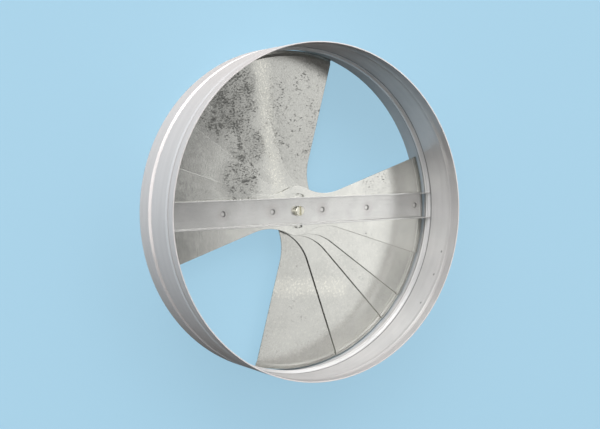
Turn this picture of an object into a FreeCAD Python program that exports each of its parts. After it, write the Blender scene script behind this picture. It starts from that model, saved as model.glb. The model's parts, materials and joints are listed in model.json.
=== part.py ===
# Round duct damper with radial blades: a short collar, a crossbar across it, and a fan of
# double-wing blades that turn on a slotted shaft to open or close the air way.
# Units are millimetres and degrees. +Z is the collar's axis, with the crossbar's side up.
import FreeCAD, Part
import Sketcher
import math
import os

OUTPUT_FOLDER = "parts"
BLADE_COUNT = 5
NO_OFFSET = 1e-9
LENGTH_TOLERANCE = 1e-3

# Driving dimensions
DIMENSIONS = {
    # collar
    "collar_radius": 124.0,
    "collar_depth": 55.0,
    "collar_sheet": 0.8,
    "bead_height": 17.5,
    "bead_depth": 2.2,
    "bead_half_width": 3.4,
    "bead_groove_half_width": 2.7,
    "swage_height": 45.5,
    "swage_depth": 0.45,
    "swage_half_width": 3.2,
    "swage_groove_half_width": 2.7,
    # crossbar
    "bar_sheet": 0.8,
    "bar_half_width": 10.4,
    "bar_bend": 1.2,
    "flange_height": 8.9,
    "flange_reach": 122.1,
    "web_reach": 118.9,
    "tongue_reach": 120.5,
    "tongue_drop": 0.7,
    "tongue_half_width": 8.3,
    "notch_clearance": 0.03,
    # blades
    "blade_sheet": 0.6,
    "blade_height": 12.2,
    "blade_pitch": 1.1,
    "wing_angle": 36.0,
    "wing_offset": 2.3,
    "neck_radius": 19.0,
    "neck_fillet": 38.0,
    "rim_bend_start": 117.6,
    "rim_bend_end": 119.6,
    "rim_drop": 0.8,
    "lip_radius": 121.8,
    # how far each blade has turned past the one above it
    "step_2": 17.9,
    "step_3": 11.2,
    "step_4": 24.1,
    "step_5": 35.0,
    # hub stops: a tab on each blade runs in a slot of the blade above
    "full_step": 36.0,
    "stop_play": 0.3,
    "slot_inner": 11.0,
    "slot_outer": 13.2,
    "slot_end": 62.0,
    "tab_inner": 11.8,
    "tab_sheet": 0.6,
    "tab_angle": 10.0,
    "tab_height": 1.0,
    "tab_window": 2.0,
    # clinch joints between the crossbar and the fixed blade
    "clinch_radius": 2.1,
    "clinch_wall": 0.35,
    "clinch_depth": 0.85,
    "clinch_1": 22.2,
    "clinch_2": 64.2,
    "clinch_3": 112.3,
    # shaft, washers and spacers
    "shaft_radius": 3.7,
    "shaft_stand": 3.8,
    "shaft_chamfer": 0.35,
    "groove_radius": 3.44,
    "groove_play": 0.05,
    "running_play": 0.06,
    "slot_width": 1.6,
    "slot_depth": 2.2,
    "key_radius": 3.0,
    "key_half_width": 2.2,
    "key_corner": 0.8,
    "key_play": 0.02,
    "fixed_hub_hole": 6.0,
    "spacer_radius": 10.0,
    "spacer_play": 0.02,
    "washer_sheet": 1.0,
    "washer_radius": 9.0,
    "spring_radius": 6.5,
    "spring_sheet": 0.5,
    "spring_rise": 0.6,
    "rivet_radius": 4.6,
    "rivet_thickness": 1.0,
}

doc = FreeCAD.newDocument("radial_blade_damper")
sheet = doc.addObject("Spreadsheet::Sheet", "dims")
for row, (alias, value) in enumerate(DIMENSIONS.items(), start=1):
    sheet.set("A%d" % row, alias)
    sheet.set("B%d" % row, str(value))
    sheet.setAlias("B%d" % row, alias)
doc.recompute()

# Values that several pieces share, written as expressions of the sheet
WEB_BOTTOM = "dims.blade_height"
WEB_TOP = "(dims.blade_height + dims.bar_sheet)"
COLLAR_BORE = "(dims.collar_radius - dims.collar_sheet)"
AIR_WAY_REACH = "(1.05 * dims.lip_radius)"
LAST_BLADE_TOP = "(dims.blade_height - %d * dims.blade_pitch)" % (BLADE_COUNT - 1)
LAST_BLADE_BOTTOM = "(%s - dims.blade_sheet)" % LAST_BLADE_TOP
WASHER_BOTTOM = "(%s - dims.washer_sheet)" % LAST_BLADE_BOTTOM
SPRING_BOTTOM = "(%s - dims.spring_rise - dims.spring_sheet)" % WASHER_BOTTOM
SLOT_SWEEP = "(dims.full_step + dims.tab_angle + 2 * dims.stop_play)"
CUP_RADIUS = "(dims.clinch_radius + dims.clinch_wall)"
CLINCH_PLACES = [side + "dims.clinch_%d" % number for side in ("-", "") for number in (1, 2, 3)]

# Half sections of rolled ridges, from the foot to the middle: each point is a share of the
# ridge's half width, measured from its middle, and a share of its depth. A section that
# ends at its middle, at share 0, comes to a soft point, and another one has a flat crest
BEAD_CREST = [(1.0, 0.0), (0.79, 0.15), (0.476, 0.73), (0.154, 0.975)]
BEAD_GROOVE = [(1.0, 0.0), (0.45, 1.0)]
SWAGE = [(1.0, 0.0), (0.0, 1.0)]


def value_of(expression):
    return float(sheet.evalExpression(expression))


def new_body(label):
    body = doc.addObject("PartDesign::Body", label)
    body.Label = label
    return body


def origin_feature(body, role):
    return next(item for item in body.Origin.OriginFeatures if item.Role == role)


def new_sketch(body, name, plane, height=None, turn=None):
    """A sketch on one of the body's own planes, raised along the plane's normal or turned about Z."""
    sketch = body.newObject("Sketcher::SketchObject", name)
    sketch.AttachmentSupport = [(origin_feature(body, plane), "")]
    sketch.MapMode = "FlatFace"
    if height:
        sketch.setExpression("AttachmentOffset.Base.z", height)
    if turn:
        sketch.AttachmentOffset = FreeCAD.Placement(
            FreeCAD.Vector(0, 0, 0), FreeCAD.Rotation(FreeCAD.Vector(0, 1, 0), value_of(turn)))
        sketch.setExpression("AttachmentOffset.Rotation.Angle", turn)
    return sketch


def pin_point(sketch, geometry, position, expressions):
    """Hold one point of a sketch at a place given by two expressions."""
    for kind, axis, expression in zip(("DistanceX", "DistanceY"), (-2, -1), expressions):
        value = value_of(expression)
        if abs(value) < NO_OFFSET:
            sketch.addConstraint(Sketcher.Constraint("PointOnObject", geometry, position, axis))
            continue
        index = sketch.addConstraint(Sketcher.Constraint(kind, -1, 1, geometry, position, value))
        sketch.setExpression("Constraints[%d]" % index, expression)


def draw_outline(sketch, corners):
    """A closed outline through corners, each an (x, y) pair of expressions."""
    points = [FreeCAD.Vector(value_of(x), value_of(y), 0) for x, y in corners]
    first = sketch.GeometryCount
    for start, end in zip(points, points[1:] + points[:1]):
        sketch.addGeometry(Part.LineSegment(start, end))
    for index in range(len(points)):
        following = (index + 1) % len(points)
        sketch.addConstraint(Sketcher.Constraint("Coincident", first + index, 2, first + following, 1))
    for index, corner in enumerate(corners):
        pin_point(sketch, first + index, 1, corner)


def draw_rectangle(sketch, left, right, bottom, top):
    draw_outline(sketch, [(left, bottom), (right, bottom), (right, top), (left, top)])


def draw_circle(sketch, radius, x="0", y="0"):
    centre = FreeCAD.Vector(value_of(x), value_of(y), 0)
    geometry = sketch.addGeometry(Part.Circle(centre, FreeCAD.Vector(0, 0, 1), value_of(radius)))
    index = sketch.addConstraint(Sketcher.Constraint("Radius", geometry, value_of(radius)))
    sketch.setExpression("Constraints[%d]" % index, radius)
    if abs(value_of(x)) < NO_OFFSET and abs(value_of(y)) < NO_OFFSET:
        sketch.addConstraint(Sketcher.Constraint("Coincident", geometry, 3, -1, 1))
    else:
        pin_point(sketch, geometry, 3, (x, y))


def pad(body, sketch, length, symmetric=False):
    feature = body.newObject("PartDesign::Pad", sketch.Name + "_pad")
    feature.Profile = sketch
    feature.setExpression("Length", length)
    if symmetric:
        feature.SideType = "Symmetric"
    doc.recompute()
    return feature


def pocket(body, sketch, depth):
    """Cut a sketch's outline down from the sketch by a depth."""
    feature = body.newObject("PartDesign::Pocket", sketch.Name + "_pocket")
    feature.Profile = sketch
    feature.setExpression("Length", depth)
    doc.recompute()
    return feature


def cut_through(body, sketch):
    """Cut a sketch's outline right through the body, both ways from the sketch."""
    feature = body.newObject("PartDesign::Pocket", sketch.Name + "_cut")
    feature.Profile = sketch
    feature.Type = "ThroughAll"
    feature.SideType = "Symmetric"
    doc.recompute()
    return feature


def revolve(body, sketch, angle="360", kind="PartDesign::Revolution"):
    """Turn a sketch about the body's Z axis; a part turn is centred on the sketch."""
    feature = body.newObject(kind, sketch.Name + "_turn")
    feature.Profile = sketch
    feature.ReferenceAxis = (sketch, ["V_Axis"])
    feature.setExpression("Angle", angle)
    if angle != "360":
        feature.Midplane = True
    doc.recompute()
    return feature


def groove(body, sketch, angle="360"):
    return revolve(body, sketch, angle, "PartDesign::Groove")


def repeat_half_turn(body, feature):
    """Repeat a feature on the opposite side of the axis."""
    pattern = body.newObject("PartDesign::PolarPattern", feature.Name + "_pair")
    pattern.Originals = [feature]
    pattern.Axis = (origin_feature(body, "Z_Axis"), [""])
    pattern.Angle = 360
    pattern.Occurrences = 2
    body.Tip = pattern
    doc.recompute()
    return pattern


def fillet(body, wanted, radius):
    """Round every edge of the body's present shape for which wanted(edge) is true."""
    base = body.Tip
    names = ["Edge%d" % number for number, edge in enumerate(base.Shape.Edges, start=1) if wanted(edge)]
    feature = body.newObject("PartDesign::Fillet", body.Name + "_round")
    feature.Base = (base, names)
    feature.setExpression("Radius", radius)
    doc.recompute()
    return feature


def draw_clinches(sketch, radius):
    for place in CLINCH_PLACES:
        draw_circle(sketch, radius, place)


def rolled_ridge(half_section, radius, name, half_width):
    """The corners of a ridge rolled inwards from a radius, from its lower foot to its upper one."""
    lower = []
    upper = []
    for across, inwards in half_section:
        distance = "%s - %s * dims.%s_depth" % (radius, inwards, name)
        offset = "%s * dims.%s" % (across, half_width)
        lower.append((distance, "dims.%s_height - %s" % (name, offset)))
        if across:
            upper.append((distance, "dims.%s_height + %s" % (name, offset)))
    return lower + upper[::-1]


def make_collar():
    """A rolled sheet ring with a deep bead above the blades and a shallow swage near its top edge."""
    body = new_body("collar")
    wall = new_sketch(body, "collar_wall", "XZ_Plane")
    inside = [(COLLAR_BORE, "0")]
    inside += rolled_ridge(BEAD_CREST, COLLAR_BORE, "bead", "bead_half_width")
    inside += rolled_ridge(SWAGE, COLLAR_BORE, "swage", "swage_half_width")
    inside += [(COLLAR_BORE, "dims.collar_depth")]
    outside = [("dims.collar_radius", "0")]
    outside += rolled_ridge(BEAD_GROOVE, "dims.collar_radius", "bead", "bead_groove_half_width")
    outside += rolled_ridge(SWAGE, "dims.collar_radius", "swage", "swage_groove_half_width")
    outside += [("dims.collar_radius", "dims.collar_depth")]
    draw_outline(wall, inside + outside[::-1])
    revolve(body, wall)
    return body


def make_crossbar():
    body = new_body("crossbar")
    web = new_sketch(body, "bar_web", "XY_Plane", height=WEB_BOTTOM)
    draw_rectangle(web, "-dims.web_reach", "dims.web_reach", "-dims.bar_half_width", "dims.bar_half_width")
    pad(body, web, "dims.bar_sheet")
    flanges = new_sketch(body, "bar_flanges", "XY_Plane", height=WEB_BOTTOM)
    for near, far in (("dims.bar_half_width - dims.bar_sheet", "dims.bar_half_width"),
                      ("-dims.bar_half_width", "dims.bar_sheet - dims.bar_half_width")):
        draw_rectangle(flanges, "-dims.flange_reach", "dims.flange_reach", near, far)
    pad(body, flanges, "dims.flange_height")
    half_width = value_of("dims.bar_half_width")
    thickness = value_of("dims.bar_sheet")
    web_bottom = value_of(WEB_BOTTOM)

    def long_edge_at(distance, level):
        def wanted(edge):
            middle = edge.CenterOfMass
            along = abs(edge.tangentAt(edge.FirstParameter).x) > 0.99
            beside = abs(abs(middle.y) - distance) < LENGTH_TOLERANCE
            return along and beside and abs(middle.z - level) < LENGTH_TOLERANCE
        return wanted
    fillet(body, long_edge_at(half_width, web_bottom), "dims.bar_bend")
    fillet(body, long_edge_at(half_width - thickness, web_bottom + thickness),
           "dims.bar_bend - dims.bar_sheet")
    # the flange ends are notched round the collar's bead, which holds the bar both ways
    notch = new_sketch(body, "bead_notch", "XZ_Plane")
    bead = rolled_ridge(BEAD_CREST, COLLAR_BORE, "bead", "bead_half_width")
    seat = [("sqrt((%s) ^ 2 - dims.bar_half_width ^ 2) - dims.notch_clearance" % radius, height)
            for radius, height in bead]
    seat += [("dims.collar_radius", bead[-1][1]), ("dims.collar_radius", bead[0][1])]
    for side in ("", "-"):
        draw_outline(notch, [(side + "(%s)" % x, height) for x, height in seat])
    cut_through(body, notch)
    # the web's ends are turned down over the fixed blade's rim
    tongue = new_sketch(body, "web_tongue", "XZ_Plane")
    draw_outline(tongue, [("dims.web_reach - dims.bar_sheet", WEB_BOTTOM),
                          ("dims.web_reach", WEB_BOTTOM),
                          ("dims.tongue_reach", WEB_BOTTOM + " - dims.tongue_drop"),
                          ("dims.tongue_reach", WEB_TOP + " - dims.tongue_drop"),
                          ("dims.web_reach", WEB_TOP),
                          ("dims.web_reach - dims.bar_sheet", WEB_TOP)])
    tongue_pad = pad(body, tongue, "2 * dims.tongue_half_width", symmetric=True)
    repeat_half_turn(body, tongue_pad)
    hole = new_sketch(body, "shaft_hole", "XY_Plane")
    draw_circle(hole, "dims.groove_radius + dims.running_play")
    cut_through(body, hole)
    # cups pressed down from the web sit in the fixed blade's holes and hold it
    cups = new_sketch(body, "clinch_cups", "XY_Plane", height=WEB_BOTTOM + " - dims.clinch_depth")
    draw_clinches(cups, CUP_RADIUS)
    pad(body, cups, "dims.clinch_depth")
    hollows = new_sketch(body, "clinch_hollows", "XY_Plane", height=WEB_TOP)
    draw_clinches(hollows, "dims.clinch_radius")
    pocket(body, hollows, "dims.clinch_depth")
    return body


def add_hub_slots(body, turn):
    slot = new_sketch(body, body.Name + "_slot", "XZ_Plane", turn=turn)
    draw_rectangle(slot, "dims.slot_inner", "dims.slot_outer",
                   "-3 * dims.blade_sheet", "3 * dims.blade_sheet")
    repeat_half_turn(body, groove(body, slot, SLOT_SWEEP))


def add_hub_tabs(body, turn):
    """Tabs lanced out of the sheet and turned up, each with the window that it leaves."""
    tab = new_sketch(body, body.Name + "_tab", "XZ_Plane", turn=turn)
    draw_rectangle(tab, "dims.tab_inner", "dims.tab_inner + dims.tab_sheet",
                   "-dims.blade_sheet", "dims.tab_height")
    repeat_half_turn(body, revolve(body, tab, "dims.tab_angle"))
    window = new_sketch(body, body.Name + "_window", "XZ_Plane", turn=turn)
    draw_rectangle(window, "dims.tab_inner + dims.tab_sheet",
                   "dims.tab_inner + dims.tab_sheet + dims.tab_window",
                   "-3 * dims.blade_sheet", "3 * dims.blade_sheet")
    repeat_half_turn(body, groove(body, window, "dims.tab_angle"))


def slot_turn(number):
    """Where a blade's slots are centred; they change place on every second blade."""
    quarter = "" if number % 2 else " - 90"
    return "dims.slot_end + %s / 2%s" % (SLOT_SWEEP, quarter)


def turn_with_blade(body, number):
    """Turn a body about the axis as far as a blade stands from the fixed one."""
    steps = " + ".join("dims.step_%d" % earlier for earlier in range(2, number + 1))
    body.Placement.Rotation = FreeCAD.Rotation(FreeCAD.Vector(0, 0, -1), value_of(steps))
    body.setExpression("Placement.Rotation.Angle", steps)


def make_blade(number):
    """One double-wing blade, with its top face at its own frame's zero height."""
    fixed = number == 1
    last = number == BLADE_COUNT
    body = new_body("fixed_blade" if fixed else "blade_%d" % number)
    plate = new_sketch(body, body.Name + "_plate", "XZ_Plane")
    draw_outline(plate, [("0", "0"),
                         ("dims.rim_bend_start", "0"),
                         ("dims.rim_bend_end", "-dims.rim_drop"),
                         ("dims.lip_radius", "-dims.rim_drop"),
                         ("dims.lip_radius", "-dims.rim_drop - dims.blade_sheet"),
                         ("dims.rim_bend_end - dims.blade_sheet / 3", "-dims.rim_drop - dims.blade_sheet"),
                         ("dims.rim_bend_start - dims.blade_sheet / 3", "-dims.blade_sheet"),
                         ("0", "-dims.blade_sheet")])
    revolve(body, plate)
    # the air ways between the two wings have straight sides that miss the axis
    way = new_sketch(body, body.Name + "_air_way", "XY_Plane")
    apex = "dims.wing_offset / cos(dims.wing_angle / 2)"
    corner = "%s + %s * tan(dims.wing_angle / 2)" % (apex, AIR_WAY_REACH)
    draw_outline(way, [("0", apex), (AIR_WAY_REACH, corner), (AIR_WAY_REACH, AIR_WAY_REACH),
                       ("-" + AIR_WAY_REACH, AIR_WAY_REACH), ("-" + AIR_WAY_REACH, corner)])
    repeat_half_turn(body, cut_through(body, way))
    neck = new_sketch(body, body.Name + "_neck", "XY_Plane", height="-dims.blade_sheet")
    draw_circle(neck, "dims.neck_radius")
    pad(body, neck, "dims.blade_sheet")
    neck_radius = value_of("dims.neck_radius")

    def neck_corner(edge):
        middle = edge.CenterOfMass
        upright = abs(edge.tangentAt(edge.FirstParameter).z) > 0.99
        return upright and abs(math.hypot(middle.x, middle.y) - neck_radius) < LENGTH_TOLERANCE
    fillet(body, neck_corner, "dims.neck_fillet")
    if not last:
        add_hub_slots(body, slot_turn(number))
    if not fixed:
        add_hub_tabs(body, "%s + %s / 2 - dims.stop_play - dims.tab_angle / 2"
                     % (slot_turn(number - 1), SLOT_SWEEP))
    hole = new_sketch(body, body.Name + "_hole", "XY_Plane")
    if fixed:
        draw_circle(hole, "dims.fixed_hub_hole")
        draw_clinches(hole, CUP_RADIUS)
    elif last:
        draw_key_outline(hole, "dims.key_play")
    else:
        draw_circle(hole, "dims.shaft_radius + dims.running_play")
    cut_through(body, hole)
    body.setExpression("Placement.Base.z", "dims.blade_height - %d * dims.blade_pitch" % (number - 1))
    if not fixed:
        turn_with_blade(body, number)
    doc.recompute()
    return body


def draw_key_outline(sketch, play):
    """A square with cut corners, the shape of the shaft's drive end."""
    flat = "(dims.key_half_width + %s)" % play
    corner = "(dims.key_half_width + %s - dims.key_corner)" % play
    draw_outline(sketch, [(corner, "-" + flat), (flat, "-" + corner), (flat, corner), (corner, flat),
                          ("-" + corner, flat), ("-" + flat, corner), ("-" + flat, "-" + corner),
                          ("-" + corner, "-" + flat)])


def make_shaft():
    body = new_body("drive_shaft")
    profile = new_sketch(body, "shaft_profile", "XZ_Plane")
    top = "(%s + dims.shaft_stand)" % WEB_TOP
    groove_top = "(%s + dims.groove_play)" % WEB_TOP
    groove_bottom = "(%s - dims.groove_play)" % WEB_BOTTOM
    draw_outline(profile, [("0", LAST_BLADE_TOP),
                           ("dims.shaft_radius", LAST_BLADE_TOP),
                           ("dims.shaft_radius", groove_bottom),
                           ("dims.groove_radius", groove_bottom),
                           ("dims.groove_radius", groove_top),
                           ("dims.shaft_radius", groove_top),
                           ("dims.shaft_radius", top + " - dims.shaft_chamfer"),
                           ("dims.shaft_radius - dims.shaft_chamfer", top),
                           ("0", top)])
    revolve(body, profile)
    key = new_sketch(body, "shaft_key", "XY_Plane", height=SPRING_BOTTOM)
    draw_key_outline(key, "0")
    pad(body, key, "%s - %s" % (LAST_BLADE_TOP, SPRING_BOTTOM))
    rivet = new_sketch(body, "rivet_head", "XZ_Plane")
    rivet_bottom = "(%s - dims.rivet_thickness)" % SPRING_BOTTOM
    draw_outline(rivet, [("0", rivet_bottom),
                         ("dims.rivet_radius - dims.rivet_thickness / 2", rivet_bottom),
                         ("dims.rivet_radius", "%s + dims.rivet_thickness / 2" % rivet_bottom),
                         ("dims.rivet_radius", SPRING_BOTTOM),
                         ("0", SPRING_BOTTOM)])
    revolve(body, rivet)
    # the slot runs along the driven blade, so it shows how far the damper is open
    slot = new_sketch(body, "driver_slot", "YZ_Plane")
    draw_rectangle(slot, "-dims.slot_width / 2", "dims.slot_width / 2",
                   top + " - dims.slot_depth", top + " + dims.slot_depth")
    cut_through(body, slot)
    turn_with_blade(body, BLADE_COUNT)
    return body


def make_spacer(number):
    """A flat ring between one blade and the next one down."""
    body = new_body("spacer_%d" % number)
    outline = new_sketch(body, body.Name + "_outline", "XY_Plane")
    draw_circle(outline, "dims.spacer_radius")
    draw_circle(outline, "dims.shaft_radius + dims.running_play")
    pad(body, outline, "dims.blade_pitch - dims.blade_sheet - dims.spacer_play")
    body.setExpression("Placement.Base.z", "dims.blade_height - %d * dims.blade_pitch" % number)
    return body


def make_back_washer():
    body = new_body("back_washer")
    outline = new_sketch(body, "back_washer_outline", "XY_Plane", height=WASHER_BOTTOM)
    draw_circle(outline, "dims.washer_radius")
    draw_key_outline(outline, "dims.key_play")
    pad(body, outline, "dims.washer_sheet")
    turn_with_blade(body, BLADE_COUNT)
    return body


def make_spring_washer():
    """A cone-shaped washer that keeps the stack tight, between the back washer and the rivet head."""
    body = new_body("spring_washer")
    section = new_sketch(body, "spring_section", "XZ_Plane")
    bore = "dims.key_radius + dims.running_play"
    draw_outline(section, [(bore, SPRING_BOTTOM),
                           ("dims.spring_radius", SPRING_BOTTOM + " + dims.spring_rise"),
                           ("dims.spring_radius",
                            SPRING_BOTTOM + " + dims.spring_rise + dims.spring_sheet"),
                           (bore, SPRING_BOTTOM + " + dims.spring_sheet")])
    revolve(body, section)
    return body


bodies = [make_collar(), make_crossbar(), make_shaft(), make_back_washer(), make_spring_washer()]
bodies += [make_blade(number) for number in range(1, BLADE_COUNT + 1)]
bodies += [make_spacer(number) for number in range(1, BLADE_COUNT)]
doc.recompute()

for item in doc.Objects:
    if "Invalid" in item.State or "Error" in item.State:
        raise RuntimeError("%s is %s" % (item.Name, item.State))
os.makedirs("parts", exist_ok=True)
for body in bodies:
    shape = body.Shape
    if shape.isNull() or not shape.isValid() or len(shape.Solids) != 1:
        raise RuntimeError("%s has no single valid solid" % body.Label)
    shape.exportStep(os.path.join(OUTPUT_FOLDER, body.Label + ".step"))
    box = shape.BoundBox
    print("%-14s volume %9.1f  z %6.2f to %6.2f" % (body.Label, shape.Volume, box.ZMin, box.ZMax))
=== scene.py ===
import json
import math
from functools import partial, reduce

import bpy
from mathutils import Matrix, Vector


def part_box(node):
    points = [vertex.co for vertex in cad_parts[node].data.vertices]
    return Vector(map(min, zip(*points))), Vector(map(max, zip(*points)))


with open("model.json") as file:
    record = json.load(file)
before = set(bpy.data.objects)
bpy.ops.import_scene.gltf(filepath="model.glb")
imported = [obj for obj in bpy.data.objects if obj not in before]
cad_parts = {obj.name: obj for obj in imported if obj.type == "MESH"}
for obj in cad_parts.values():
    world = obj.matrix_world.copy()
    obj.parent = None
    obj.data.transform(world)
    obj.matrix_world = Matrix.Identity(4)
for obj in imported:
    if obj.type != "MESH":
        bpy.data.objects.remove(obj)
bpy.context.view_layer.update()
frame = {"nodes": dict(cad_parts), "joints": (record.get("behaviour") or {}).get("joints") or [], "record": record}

nodes = frame["nodes"]

# Node trees

BEVEL_SAMPLES = 6
CREASE_SAMPLES = 8
# how open a place is where the painted crease shade has its full strength, and where it has none
CREASE_EDGES = (0.6, 0.94)
# the share of a mark's reach within which it has its full strength
POINT_CORE = 0.45
HEIGHT_CORE = 0.3
LINE_CORE = 0.1


class Tree:
    """A node tree, with short calls for the nodes that this script uses.

    Each value in a call is a number, a tuple or another node's output.
    """

    def __init__(self, tree):
        self.tree = tree

    def node(self, kind, **settings):
        """A new node with these settings."""
        made = self.tree.nodes.new(kind)
        for key, value in settings.items():
            setattr(made, key, value)
        return made

    def feed(self, socket, value):
        """Put a value on a socket."""
        if isinstance(value, bpy.types.NodeSocket):
            self.tree.links.new(value, socket)
        else:
            socket.default_value = value

    def math(self, operation, a, b=0.0, c=0.0):
        """What an operation on numbers gives."""
        made = self.node("ShaderNodeMath", operation=operation)
        for socket, value in zip(made.inputs, (a, b, c)):
            self.feed(socket, value)
        return made.outputs[0]

    def vector_math(self, operation, a, b):
        """What an operation on two vectors gives: a number for a distance or a dot product."""
        made = self.node("ShaderNodeVectorMath", operation=operation)
        self.feed(made.inputs[0], a)
        self.feed(made.inputs[1], b)
        gives_number = operation in ("DISTANCE", "DOT_PRODUCT")
        return made.outputs["Value" if gives_number else "Vector"]

    def split(self, vector):
        """The three numbers of a vector."""
        made = self.node("ShaderNodeSeparateXYZ")
        self.feed(made.inputs[0], vector)
        return tuple(made.outputs)

    def join(self, x=0.0, y=0.0, z=0.0):
        """A vector of three numbers."""
        made = self.node("ShaderNodeCombineXYZ")
        for socket, value in zip(made.inputs, (x, y, z)):
            self.feed(socket, value)
        return made.outputs[0]

    def step(self, value, low, high, start=0.0, end=1.0):
        """A smooth step of value from low to high, going from start to end."""
        made = self.node("ShaderNodeMapRange", interpolation_type="SMOOTHSTEP")
        for key, number in (("Value", value), ("From Min", low), ("From Max", high),
                            ("To Min", start), ("To Max", end)):
            self.feed(made.inputs[key], number)
        return made.outputs["Result"]

    def limited(self, value):
        """A number kept between 0 and 1."""
        made = self.node("ShaderNodeClamp")
        self.feed(made.inputs["Value"], value)
        return made.outputs["Result"]

    def strongest(self, values):
        """The largest of several numbers at each place."""
        return reduce(partial(self.math, "MAXIMUM"), values)

    def nearest(self, distances):
        """The smallest of several numbers at each place."""
        return reduce(partial(self.math, "MINIMUM"), distances)

    def blend(self, factor, first, second):
        """A colour between two: the first where factor is 0, the second where it is 1."""
        made = self.node("ShaderNodeMix", data_type="RGBA")
        self.feed(made.inputs["Factor"], factor)
        first_socket, second_socket = made.inputs[6:8]
        self.feed(first_socket, first)
        self.feed(second_socket, second)
        return made.outputs[2]


class Shader(Tree):
    """A material's tree, with the patterns and the surface that the finishes use."""

    def __init__(self, name):
        self.material = bpy.data.materials.new(name)
        self.material.use_nodes = True
        super().__init__(self.material.node_tree)
        self.surface = next(n for n in self.tree.nodes if n.type == "BSDF_PRINCIPLED")

    def set(self, **values):
        """Put values on the surface's own sockets, named with _ for a space."""
        for key, value in values.items():
            self.feed(self.surface.inputs[key.replace("_", " ")], value)

    def place(self, turn=0.0, scale=(1, 1, 1), shift=(0, 0, 0)):
        """The piece's own coordinates, turned about Z, scaled and shifted."""
        made = self.node("ShaderNodeMapping")
        self.feed(made.inputs["Vector"], self.node("ShaderNodeTexCoord").outputs["Object"])
        self.feed(made.inputs["Rotation"], (0, 0, math.radians(turn)))
        self.feed(made.inputs["Scale"], scale)
        self.feed(made.inputs["Location"], shift)
        return made.outputs[0]

    def noise(self, vector, size, detail=2.0, roughness=0.5):
        """Soft noise whose blotches are about this size."""
        made = self.node("ShaderNodeTexNoise")
        self.feed(made.inputs["Vector"], vector)
        self.feed(made.inputs["Scale"], 1.0 / size)
        self.feed(made.inputs["Detail"], detail)
        self.feed(made.inputs["Roughness"], roughness)
        return made.outputs["Fac"]

    def cells(self, vector, size):
        """A flat random value for each crystal of about this size."""
        made = self.node("ShaderNodeTexVoronoi")
        self.feed(made.inputs["Vector"], vector)
        self.feed(made.inputs["Scale"], 1.0 / size)
        channels = self.node("ShaderNodeSeparateColor")
        self.feed(channels.inputs["Color"], made.outputs["Color"])
        return channels.outputs[0]

    def fade(self, distance, reach, core):
        """1 within a core, which is a share of the reach, fading to 0 at the reach."""
        return self.step(distance, core * reach, reach, 1.0, 0.0)

    def near_point(self, point, reach):
        """1 close to a point, fading to 0 at a reach."""
        distance = self.vector_math("DISTANCE", self.place(), point)
        return self.fade(distance, reach, POINT_CORE)

    def near_height(self, height, level, reach):
        """1 at a level, fading to 0 at a reach above and below it."""
        offset = self.math("SUBTRACT", height, level)
        return self.fade(self.math("ABSOLUTE", offset), reach, HEIGHT_CORE)

    def near_line(self, start, end, reach):
        """1 along a straight line between two points, fading to 0 at a reach."""
        along = Vector(end) - Vector(start)
        offset = self.vector_math("SUBTRACT", self.place(), start)
        share = self.vector_math("DOT_PRODUCT", offset, along / along.length_squared)
        foot = self.vector_math("MULTIPLY", along, self.limited(share))
        return self.fade(self.vector_math("DISTANCE", offset, foot), reach, LINE_CORE)

    def crease_shade(self, reach):
        """Where shade is painted: 0 in the open, growing to 1 in grooves and corners of this reach."""
        made = self.node("ShaderNodeAmbientOcclusion", samples=CREASE_SAMPLES, only_local=True)
        self.feed(made.inputs["Distance"], reach)
        return self.step(made.outputs["AO"], *CREASE_EDGES, 1.0, 0.0)

    def coats(self, base, *rows):
        """Lay colours over a base. A row is where the colour lies, how strongly, and the colour."""
        for where, strength, colour in rows:
            base = self.blend(self.math("MULTIPLY", where, strength), base, colour)
        return base

    def rounded(self, radius):
        """Normals of edges that catch light as if rounded to a radius."""
        made = self.node("ShaderNodeBevel", samples=BEVEL_SAMPLES)
        self.feed(made.inputs["Radius"], radius)
        return made.outputs["Normal"]

    def bump(self, height, depth, normal):
        """Normals with relief added: the height runs from 0 to 1 over this depth."""
        made = self.node("ShaderNodeBump")
        self.feed(made.inputs["Height"], height)
        self.feed(made.inputs["Distance"], depth)
        self.feed(made.inputs["Normal"], normal)
        return made.outputs["Normal"]


def grey(level, tint=(1.0, 1.0, 1.0)):
    """A grey of this level, with a faint tint."""
    return tuple(level * part for part in tint) + (1.0,)


def paint(name, material):
    """Give a node of the frame its only material."""
    slots = nodes[name].data.materials
    slots.clear()
    slots.append(material)


# the noise values between which a cloud goes from none to full
CLOUD_EDGES = (0.3, 0.7)

# Blades

# each blade's zinc level, darker step by step down the stack: painted shade for the deeper blades
SHADED_ZINC_LEVELS = {"fixed_blade": 0.78, "blade_2": 0.75, "blade_3": 0.71, "blade_4": 0.67, "blade_5": 0.60}
ZINC_TINT = (1.0, 1.0, 0.94)
# how far the clouds make the zinc lighter and darker, as a share of its level
ZINC_CLOUDING = 0.06
# the zinc's roughness, and how much crystals and dark flecks add to it
ZINC_ROUGHNESS = 0.17
CRYSTAL_ROUGHNESS = 0.04
FLECK_ROUGHNESS = 0.20
# sizes of the marks in the zinc
CRYSTALS = 0.0026
ZINC_GRAIN = 0.0011
ZINC_CLOUDS = 0.024
FINE_FLECKS = 0.0018
COARSE_FLECKS = 0.0075
GLINTS = 0.0019
ZINC_WAVES = 0.09
# depth of the sheet's relief, and the radius at which its edges catch light
WAVE_DEPTH = 0.0007
GRAIN_DEPTH = 0.00002
BLADE_EDGE = 0.00045
# each blade's patterns are shifted by a step of its own, so that no two are alike
SEED_STEP = 0.173
OWN_SHIFT = Vector((1.0, 0.37, 0.11))
FLECK_SHIFT = Vector((0.5, 1.0, 0.0))
WAVE_SHIFT = Vector((2.0, 0.0, 0.0))
FLECK_SCALE = (1.0, 1.6, 1.0)
# a height amid the blades, for marks that run on from one blade to the next
BLADE_LEVEL = 0.009
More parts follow.
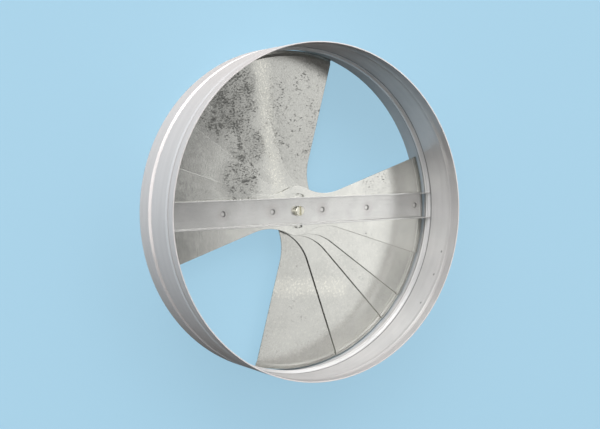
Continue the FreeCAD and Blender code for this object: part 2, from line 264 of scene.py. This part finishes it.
# where dark flecks crowd together, with painted shade there for a dark reflection: x, y, reach and crowding
FLECK_AND_SHADE_PATCHES = (
    (-0.060, 0.084, 0.042, 1.08),
    (-0.041, 0.050, 0.024, 0.95),
    (-0.048, 0.024, 0.024, 0.85),
    (0.004, 0.070, 0.062, 0.52),
    (0.074, 0.020, 0.022, 0.40),
)
# coarse flecks and crowding are added to the fine flecks, and the sum goes from plain to dark
COARSE_SHARE = 0.45
CROWDING_SHARE = 0.23
FLECK_EDGES = (0.875, 1.115)
# a crowded patch also gets painted shade between its flecks, from its least to fully as the clouds thicken
PATCH_EDGES = (0.3, 0.65)
PATCH_LEAST = 0.25
# painted highlight bands, drawn as bright crystals where a lamp's reflection falls: both ends and the reach
HIGHLIGHT_BANDS = (
    ((-0.0275, 0.116), (-0.0225, 0.062), 0.0110),
    ((-0.0225, 0.062), (-0.0150, 0.016), 0.0100),
    ((-0.016, -0.058), (0.040, -0.062), 0.0110),
)
HIGHLIGHT_BAND_COLOUR = (0.92, 0.91, 0.82, 1.0)
# glints are faint all over and stronger in the painted highlight bands
GLINT_EDGES = (0.50, 0.68)
GLINT_LEAST = 0.16
GLINT_IN_HIGHLIGHT = 0.45
GLINT_COLOUR = (1.0, 0.98, 0.88, 1.0)


def blade_turns():
    """How far each blade is turned about Z at rest, from the top one down.

    A joint's lower limit brings its blade under the one above, so the limits add up.
    """
    turn = 0.0
    turns = {"fixed_blade": turn}
    bodies = frame["record"]["behaviour"]["bodies"]
    for joint in frame["joints"]:
        blade = next(name for name in bodies[joint["child"]] if name in SHADED_ZINC_LEVELS)
        turn += joint["range_deg"][0]
        turns[blade] = turn
    return turns


def galvanised(name, turn, seed, level):
    """Hot-dip galvanised sheet: faint crystals, cloudy patches and dark flecks, with painted shade in the fleck
    patches and painted highlight bands of bright crystals.
    """
    shader = Shader(name)
    own = shader.place(turn=turn, shift=seed * OWN_SHIFT)
    crystals = shader.cells(own, CRYSTALS)
    grain = shader.noise(own, ZINC_GRAIN, detail=3.0)
    clouds = shader.noise(own, ZINC_CLOUDS, detail=3.0, roughness=0.6)

    # painted shade: the fleck patches also darken between their flecks, standing for a dark reflection
    crowding_and_shade = shader.strongest([
        shader.math("MULTIPLY", shader.near_point((x, y, BLADE_LEVEL), reach), strength)
        for x, y, reach, strength in FLECK_AND_SHADE_PATCHES])
    painted_patch_shade = shader.math("MULTIPLY", crowding_and_shade, shader.step(clouds, *PATCH_EDGES, PATCH_LEAST, 1.0))
    stretched = shader.place(turn=turn, scale=FLECK_SCALE, shift=seed * FLECK_SHIFT)
    flecks = shader.noise(stretched, FINE_FLECKS, detail=3.0, roughness=0.6)
    flecks = shader.math("MULTIPLY_ADD", shader.noise(own, COARSE_FLECKS), COARSE_SHARE, flecks)
    flecks = shader.math("MULTIPLY_ADD", crowding_and_shade, CROWDING_SHARE, flecks)
    dark = shader.step(flecks, *FLECK_EDGES)

    # painted highlight: bands of bright crystals where a lamp's reflection falls
    highlight_band = shader.strongest([
        shader.near_line(start + (BLADE_LEVEL,), end + (BLADE_LEVEL,), reach)
        for start, end, reach in HIGHLIGHT_BANDS])
    glints = shader.step(shader.noise(own, GLINTS, detail=3.0, roughness=0.7), *GLINT_EDGES)
    glints = shader.math("MULTIPLY", glints, shader.math("MULTIPLY_ADD", highlight_band, GLINT_IN_HIGHLIGHT, GLINT_LEAST))

    cloudy = shader.step(clouds, *CLOUD_EDGES)
    darker, lighter = ((1.0 + change) * level for change in (-ZINC_CLOUDING, ZINC_CLOUDING))
    base = shader.blend(cloudy, grey(darker, ZINC_TINT), grey(lighter, ZINC_TINT))
    # the painted shade of the fleck patches and the painted highlight bands lie among the zinc's own marks
    base = shader.coats(
        base,
        (shader.step(crystals, 0.0, 1.0), 0.12, grey(0.88, ZINC_TINT)),
        (grain, 0.16, grey(0.42, ZINC_TINT)),
        (painted_patch_shade, 0.44, grey(0.20, ZINC_TINT)),
        (dark, 0.84, grey(0.07, ZINC_TINT)),
        (highlight_band, 0.30, HIGHLIGHT_BAND_COLOUR),
        (glints, 1.0, GLINT_COLOUR))
    roughness = shader.math("MULTIPLY_ADD", crystals, CRYSTAL_ROUGHNESS, ZINC_ROUGHNESS)
    roughness = shader.math("MULTIPLY_ADD", dark, FLECK_ROUGHNESS, roughness)
    waves = shader.noise(shader.place(turn=turn, shift=seed * WAVE_SHIFT), ZINC_WAVES, detail=1.0)
    normal = shader.bump(waves, WAVE_DEPTH, shader.rounded(BLADE_EDGE))
    normal = shader.bump(grain, GRAIN_DEPTH, normal)
    shader.set(Metallic=1.0, Base_Color=base, Roughness=roughness, Normal=normal)
    return shader.material


# Collar and crossbar

COLLAR_TINT = (1.0, 0.955, 0.94)
COLLAR_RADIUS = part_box("collar")[1].x
# the outer wall's level, and the inner wall's, which is darker as painted shade
OUTER_LEVEL = 0.93
SHADED_INNER_LEVEL = 0.66
# the share of the collar's surface that shines as metal, and that metal's tint at grazing angles
COLLAR_METAL = 0.25
GRAZING_TINT = (0.15, 0.08, 0.05, 1.0)
COLLAR_ROUGHNESS = 0.18
# what the fine lines add to the roughness of collar and crossbar, and how deep they are
LINE_ROUGHNESS = 0.08
LINE_DEPTH = 0.00001
SHEET_EDGE = 0.0003
# sizes of the marks on the collar, and how much longer the lines and streaks run round it
ROLLED_LINES = 0.0009
ROLLED_STREAKS = 0.0042
COLLAR_CLOUDS = 0.030
COLLAR_GRAIN = 0.0010
LINE_STRETCH = 14.0
STREAK_EDGES = (0.35, 0.65)
# a surface that faces the axis counts below 0, and the outer finish takes over between these
FACING_EDGES = (-0.03, 0.03)
# heights on the inner wall: the bead's crest, with a painted highlight, its feet, with painted shade, and the band
# at the near rim, with painted dark streaks of reflection and shade
BEAD_CREST = 0.0175
CREST_HIGHLIGHT_REACH = 0.0014
BEAD_FEET = (0.0137, 0.0212)
FOOT_SHADE_REACH = 0.0009
REFLECTION_BAND = (0.0452, 0.0472)
REFLECTION_STREAKS = 0.5
REFLECTION_COLOUR = (0.34, 0.32, 0.32, 1.0)
COLLAR_SPECKS = ((0.1176, -0.0365, 0.0403), (0.1106, -0.0545, 0.0392), (0.0972, -0.0762, 0.0392))
SPECK_REACH = 0.0013
# the reach of the painted shade in the collar's grooves and corners
COLLAR_SHADE_REACH = 0.0025


def rolled_collar(name):
    """Smooth satin sheet, with fine lines round the collar from its rolling.

    Inside, the wall is painted darker as shade, the bead's crest has a painted highlight, its feet have painted
    shade, and the band at the near rim has painted dark streaks of reflection and shade. Grooves and corners get
    painted shade.
    """
    shader = Shader(name)
    here = shader.place()
    x, y, height = shader.split(here)
    around = shader.math("MULTIPLY", shader.math("ARCTAN2", y, x), COLLAR_RADIUS / LINE_STRETCH)
    unrolled = shader.join(x=around, z=height)
    lines = shader.noise(unrolled, ROLLED_LINES, detail=3.0, roughness=0.6)
    streaks = shader.noise(unrolled, ROLLED_STREAKS, roughness=0.55)
    clouds = shader.noise(here, COLLAR_CLOUDS, detail=3.0, roughness=0.6)
    grain = shader.noise(here, COLLAR_GRAIN)
    specks = shader.strongest([shader.near_point(point, SPECK_REACH) for point in COLLAR_SPECKS])

    normal = shader.node("ShaderNodeNewGeometry").outputs["True Normal"]
    outside = shader.step(shader.vector_math("DOT_PRODUCT", normal, here), *FACING_EDGES)
    inside = shader.math("SUBTRACT", 1.0, outside)
    # painted shade at the bead's feet, a painted highlight on its crest, and painted dark streaks of reflection
    # and shade in the rim band
    foot_shade = shader.strongest([shader.near_height(height, foot, FOOT_SHADE_REACH) for foot in BEAD_FEET])
    crest_highlight = shader.near_height(height, BEAD_CREST, CREST_HIGHLIGHT_REACH)
    in_band = shader.step(height, *REFLECTION_BAND, -0.5 * REFLECTION_STREAKS, 1.0 - 0.5 * REFLECTION_STREAKS)
    rim_reflection = shader.math("MULTIPLY_ADD", streaks, REFLECTION_STREAKS, in_band)

    # the inner wall is painted darker as shade
    base = shader.blend(outside, grey(SHADED_INNER_LEVEL), grey(OUTER_LEVEL, COLLAR_TINT))
    # painted shade in creases, at the bead's feet and in the rim band; a painted highlight on the bead's crest
    base = shader.coats(
        base,
        (shader.step(clouds, *CLOUD_EDGES), 0.20, grey(0.98, COLLAR_TINT)),
        (shader.step(streaks, *STREAK_EDGES), 0.08, grey(0.42, COLLAR_TINT)),
        (lines, 0.06, grey(0.40, COLLAR_TINT)),
        (grain, 0.06, grey(0.40, COLLAR_TINT)),
        (specks, 0.75, grey(0.16)),
        (shader.crease_shade(COLLAR_SHADE_REACH), 0.75, grey(0.12)),
        (shader.math("MULTIPLY", rim_reflection, inside), 0.42, REFLECTION_COLOUR),
        (shader.math("MULTIPLY", foot_shade, inside), 0.62, grey(0.10)),
        (shader.math("MULTIPLY", crest_highlight, inside), 0.62, grey(0.95)))
    roughness = shader.math("MULTIPLY_ADD", lines, LINE_ROUGHNESS, COLLAR_ROUGHNESS)
    normal = shader.bump(lines, LINE_DEPTH, shader.rounded(SHEET_EDGE))
    shader.set(Metallic=COLLAR_METAL, Specular_IOR_Level=0.0, Specular_Tint=GRAZING_TINT)
    shader.set(Base_Color=base, Roughness=roughness, Normal=normal)
    return shader.material


BAR_TINT = (1.0, 0.995, 0.965)
BAR_LEVELS = (0.70, 0.80)
BAR_METAL = 0.8
BAR_ROUGHNESS = 0.20
# sizes of the marks on the crossbar, whose brushed lines are drawn out along it
BRUSHED_LINES = 0.0008
BRUSHED_SCALE = (0.06, 1.0, 1.0)
BAR_CLOUDS = 0.018
# the reach of the painted shade in the crossbar's grooves and corners
BAR_SHADE_REACH = 0.0010
# the clinches' distances from the axis, and the marks round each by distance from its centre: a stain, painted
# shade in a ring round the hollow, and a painted highlight in its middle
CLINCH_PLACES = (0.0222, 0.0642, 0.1123)
STAIN_EDGES = (0.0045, 0.0095)
STAIN_WOBBLE = 0.004
STAIN_COLOUR = (0.42, 0.36, 0.34, 1.0)
RING_INNER = (0.0012, 0.0017)
RING_OUTER = (0.0021, 0.0026)
CENTRE_HIGHLIGHT_EDGES = (0.0009, 0.0015)


def pressed_bar(name):
    """The crossbar's sheet: brushed along its length and stained at the clinches, with painted shade round each
    clinch's hollow and in creases, and a painted highlight in each hollow's middle.
    """
    shader = Shader(name)
    here = shader.place()
    lines = shader.noise(shader.place(scale=BRUSHED_SCALE), BRUSHED_LINES, detail=3.0)
    clouds = shader.noise(here, BAR_CLOUDS, detail=3.0, roughness=0.6)

    x, y = shader.split(here)[:2]
    folded = shader.join(shader.math("ABSOLUTE", x), y)
    distance = shader.nearest([
        shader.vector_math("DISTANCE", folded, (place, 0.0, 0.0)) for place in CLINCH_PLACES])
    wobbly = shader.math("MULTIPLY_ADD", clouds, STAIN_WOBBLE, distance)
    stain = shader.step(wobbly, *STAIN_EDGES, 1.0, 0.0)
    # painted shade in a ring round each clinch's hollow, and a painted highlight in its middle
    beyond_hollow = shader.step(distance, *RING_INNER)
    ring_shade = shader.math("MULTIPLY", beyond_hollow, shader.step(distance, *RING_OUTER, 1.0, 0.0))
    centre_highlight = shader.step(distance, *CENTRE_HIGHLIGHT_EDGES, 1.0, 0.0)

    darker, lighter = (grey(level, BAR_TINT) for level in BAR_LEVELS)
    base = shader.blend(shader.step(clouds, *CLOUD_EDGES), darker, lighter)
    # painted shade round the clinches' hollows and in creases, and painted highlights in the hollows' middles
    base = shader.coats(
        base,
        (lines, 0.14, grey(0.33, BAR_TINT)),
        (stain, 0.16, STAIN_COLOUR),
        (ring_shade, 0.30, grey(0.20, BAR_TINT)),
        (centre_highlight, 0.24, grey(0.95, BAR_TINT)),
        (shader.crease_shade(BAR_SHADE_REACH), 0.40, grey(0.12)))
    roughness = shader.math("MULTIPLY_ADD", lines, LINE_ROUGHNESS, BAR_ROUGHNESS)
    normal = shader.bump(lines, LINE_DEPTH, shader.rounded(SHEET_EDGE))
    shader.set(Metallic=BAR_METAL, Base_Color=base, Roughness=roughness, Normal=normal)
    return shader.material


# Shaft, washers and spacers

# size of the blotches, the noise values between which they show, and what they add to roughness
BLOTCHES = 0.0022
BLOTCH_EDGES = (0.35, 0.7)
BLOTCH_ROUGHNESS = 0.12
SMALL_RELIEF = 0.00003
METAL_EDGE = 0.00015
# node: the material's name, its colour, the colour of its duller blotches, and its roughness
SMALL_METALS = {
    "drive_shaft": ("shaft_plating", (0.93, 0.91, 0.79, 1.0), (0.78, 0.76, 0.65, 1.0), 0.28),
    "back_washer": ("washer_plating", grey(0.60), grey(0.42), 0.26),
    "spring_washer": ("spring_steel", (0.36, 0.37, 0.40, 1.0), (0.22, 0.22, 0.24, 1.0), 0.28),
}
SPACERS = [name for name in nodes if name.startswith("spacer_")]
NYLON_COLOURS = ((0.66, 0.63, 0.55, 1.0), (0.74, 0.72, 0.65, 1.0))
NYLON_CLOUDS = 0.003
NYLON_ROUGHNESS = 0.48
NYLON_EDGE = 0.0002


def plain_metal(name, colour, dull_colour, roughness):
    """Turned or stamped metal with small blotches of duller plating."""
    shader = Shader(name)
    blotches = shader.noise(shader.place(), BLOTCHES, detail=3.0, roughness=0.65)
    base = shader.blend(shader.step(blotches, *BLOTCH_EDGES), colour, dull_colour)
    blotched = shader.math("MULTIPLY_ADD", blotches, BLOTCH_ROUGHNESS, roughness)
    normal = shader.bump(blotches, SMALL_RELIEF, shader.rounded(METAL_EDGE))
    shader.set(Metallic=1.0, Base_Color=base, Roughness=blotched, Normal=normal)
    return shader.material


def nylon(name):
    """Off-white moulded nylon, slightly clouded."""
    shader = Shader(name)
    clouds = shader.noise(shader.place(), NYLON_CLOUDS)
    base = shader.blend(clouds, *NYLON_COLOURS)
    normal = shader.bump(clouds, SMALL_RELIEF, shader.rounded(NYLON_EDGE))
    shader.set(Base_Color=base, Roughness=NYLON_ROUGHNESS, Normal=normal)
    return shader.material


# Finishes on the frame's nodes

for number, (blade, turn) in enumerate(blade_turns().items(), start=1):
    paint(blade, galvanised("zinc_" + blade, turn, SEED_STEP * number, SHADED_ZINC_LEVELS[blade]))
paint("collar", rolled_collar("collar_satin"))
paint("crossbar", pressed_bar("bar_satin"))
for name, finish in SMALL_METALS.items():
    paint(name, plain_metal(*finish))
spacer_nylon = nylon("spacer_nylon")
for name in SPACERS:
    paint(name, spacer_nylon)

# Floor, world and lamps

FLOOR_HALF_WIDTH = 12.0
# the floor's colour in diffuse light, dark so that it throws little blue on the metal
FLOOR_THROWN = (0.085, 0.09, 0.092, 1.0)
# its colour where the camera or a mirror sees it, and the share of that view that glows
FLOOR_COLOUR = (0.395, 0.635, 0.79, 1.0)
FLOOR_GLOW_COLOUR = (0.43, 0.69, 0.86, 1.0)
FLOOR_GLOW = 0.72
FLOOR_ROUGHNESS = 0.9
SEEING_RAYS = ("Is Camera Ray", "Is Glossy Ray", "Is Transmission Ray")
WORLD_COLOUR = (0.97, 0.98, 1.0, 1.0)
# the world's strength towards -Y and +Y, and how far the change spreads round the middle
WORLD_LEVELS = (0.09, 0.20)
WORLD_SPREAD = 0.7
LAMP_DISTANCE = 4.0
# name, direction from the damper, width and height, and radiance
LAMPS = (
    ("right_box", (0.80, -0.08, 0.62), (3.2, 3.8), 0.88),
    ("key_box", (-0.68, 0.64, 0.37), (5.2, 3.2), 2.4),
    ("back_box", (0.09, 0.86, 0.50), (5.2, 3.4), 2.0),
    ("right_back_box", (0.67, 0.47, 0.57), (3.8, 3.2), 0.77),
    ("overhead_box", (-0.58, 0.0, 0.81), (2.4, 2.4), 1.2),
)


def add_object(name, data):
    """A new object in the scene."""
    made = bpy.data.objects.new(name, data)
    bpy.context.scene.collection.objects.link(made)
    return made


def floor_finish(name):
    """Pale blue: part of the colour is the floor's own glow, so that its shade stays faint."""
    shader = Shader(name)
    path = shader.node("ShaderNodeLightPath")
    seen = shader.strongest([path.outputs[ray] for ray in SEEING_RAYS])
    base = shader.blend(seen, FLOOR_THROWN, FLOOR_COLOUR)
    shader.set(Base_Color=base, Roughness=FLOOR_ROUGHNESS, Specular_IOR_Level=0.0)
    glow = shader.node("ShaderNodeEmission")
    shader.feed(glow.inputs["Color"], FLOOR_GLOW_COLOUR)
    mixed = shader.node("ShaderNodeMixShader")
    shader.feed(mixed.inputs[0], shader.math("MULTIPLY", seen, FLOOR_GLOW))
    shader.feed(mixed.inputs[1], shader.surface.outputs[0])
    shader.feed(mixed.inputs[2], glow.outputs[0])
    output = next(n for n in shader.tree.nodes if n.type == "OUTPUT_MATERIAL")
    shader.feed(output.inputs["Surface"], mixed.outputs[0])
    return shader.material


def make_floor():
    """A wide flat sheet under the collar's far rim."""
    mesh = bpy.data.meshes.new("floor")
    corners = [(x * FLOOR_HALF_WIDTH, y * FLOOR_HALF_WIDTH, 0.0)
               for x, y in ((-1, -1), (1, -1), (1, 1), (-1, 1))]
    mesh.from_pydata(corners, [], [(0, 1, 2, 3)])
    mesh.materials.append(floor_finish("pale_floor"))
    add_object("floor", mesh)


def make_world():
    """A dim studio, a little brighter towards +Y."""
    world = bpy.data.worlds.new("studio")
    bpy.context.scene.world = world
    world.use_nodes = True
    tree = Tree(world.node_tree)
    direction = tree.node("ShaderNodeTexCoord").outputs["Generated"]
    towards_y = tree.split(direction)[1]
    background = world.node_tree.nodes["Background"]
    tree.feed(background.inputs["Color"], WORLD_COLOUR)
    strength = tree.step(towards_y, -WORLD_SPREAD, WORLD_SPREAD, *WORLD_LEVELS)
    tree.feed(background.inputs["Strength"], strength)


def soft_box(name, direction, size, radiance):
    """A rectangular lamp that faces the damper; radiance is what a mirror would show of it."""
    lamp = bpy.data.lights.new(name, "AREA")
    lamp.shape = "RECTANGLE"
    lamp.size, lamp.size_y = size
    lamp.energy = radiance * math.pi * lamp.size * lamp.size_y
    outward = Vector(direction).normalized()
    box = add_object(name, lamp)
    box.location = outward * LAMP_DISTANCE
    box.rotation_euler = (-outward).to_track_quat("-Z", "Y").to_euler()


make_floor()
make_world()
for lamp_row in LAMPS:
    soft_box(*lamp_row)

# Camera

CAMERA_PLACE = Vector((-0.42065, 0.04130, 0.69319))
CAMERA_TARGET = Vector((-0.00244, -0.00247, 0.0200))
CAMERA_ROLL = 0.93
CLIP_START = 0.01
# the focal length, which alone is in millimetres
LENS = 63.1


def make_camera():
    """The photograph's view: +Y is up in the picture, but for a slight roll."""
    forward = (CAMERA_TARGET - CAMERA_PLACE).normalized()
    right = forward.cross(Vector((0.0, 1.0, 0.0))).normalized()
    level_view = Matrix((right, right.cross(forward), -forward)).transposed()
    rolled_view = level_view @ Matrix.Rotation(math.radians(-CAMERA_ROLL), 3, "Z")
    camera = add_object("camera", bpy.data.cameras.new("camera"))
    camera.data.lens = LENS
    camera.data.clip_start = CLIP_START
    camera.matrix_world = Matrix.Translation(CAMERA_PLACE) @ rolled_view.to_4x4()
    bpy.context.scene.camera = camera


make_camera()
bpy.context.scene.view_settings.view_transform = "Standard"
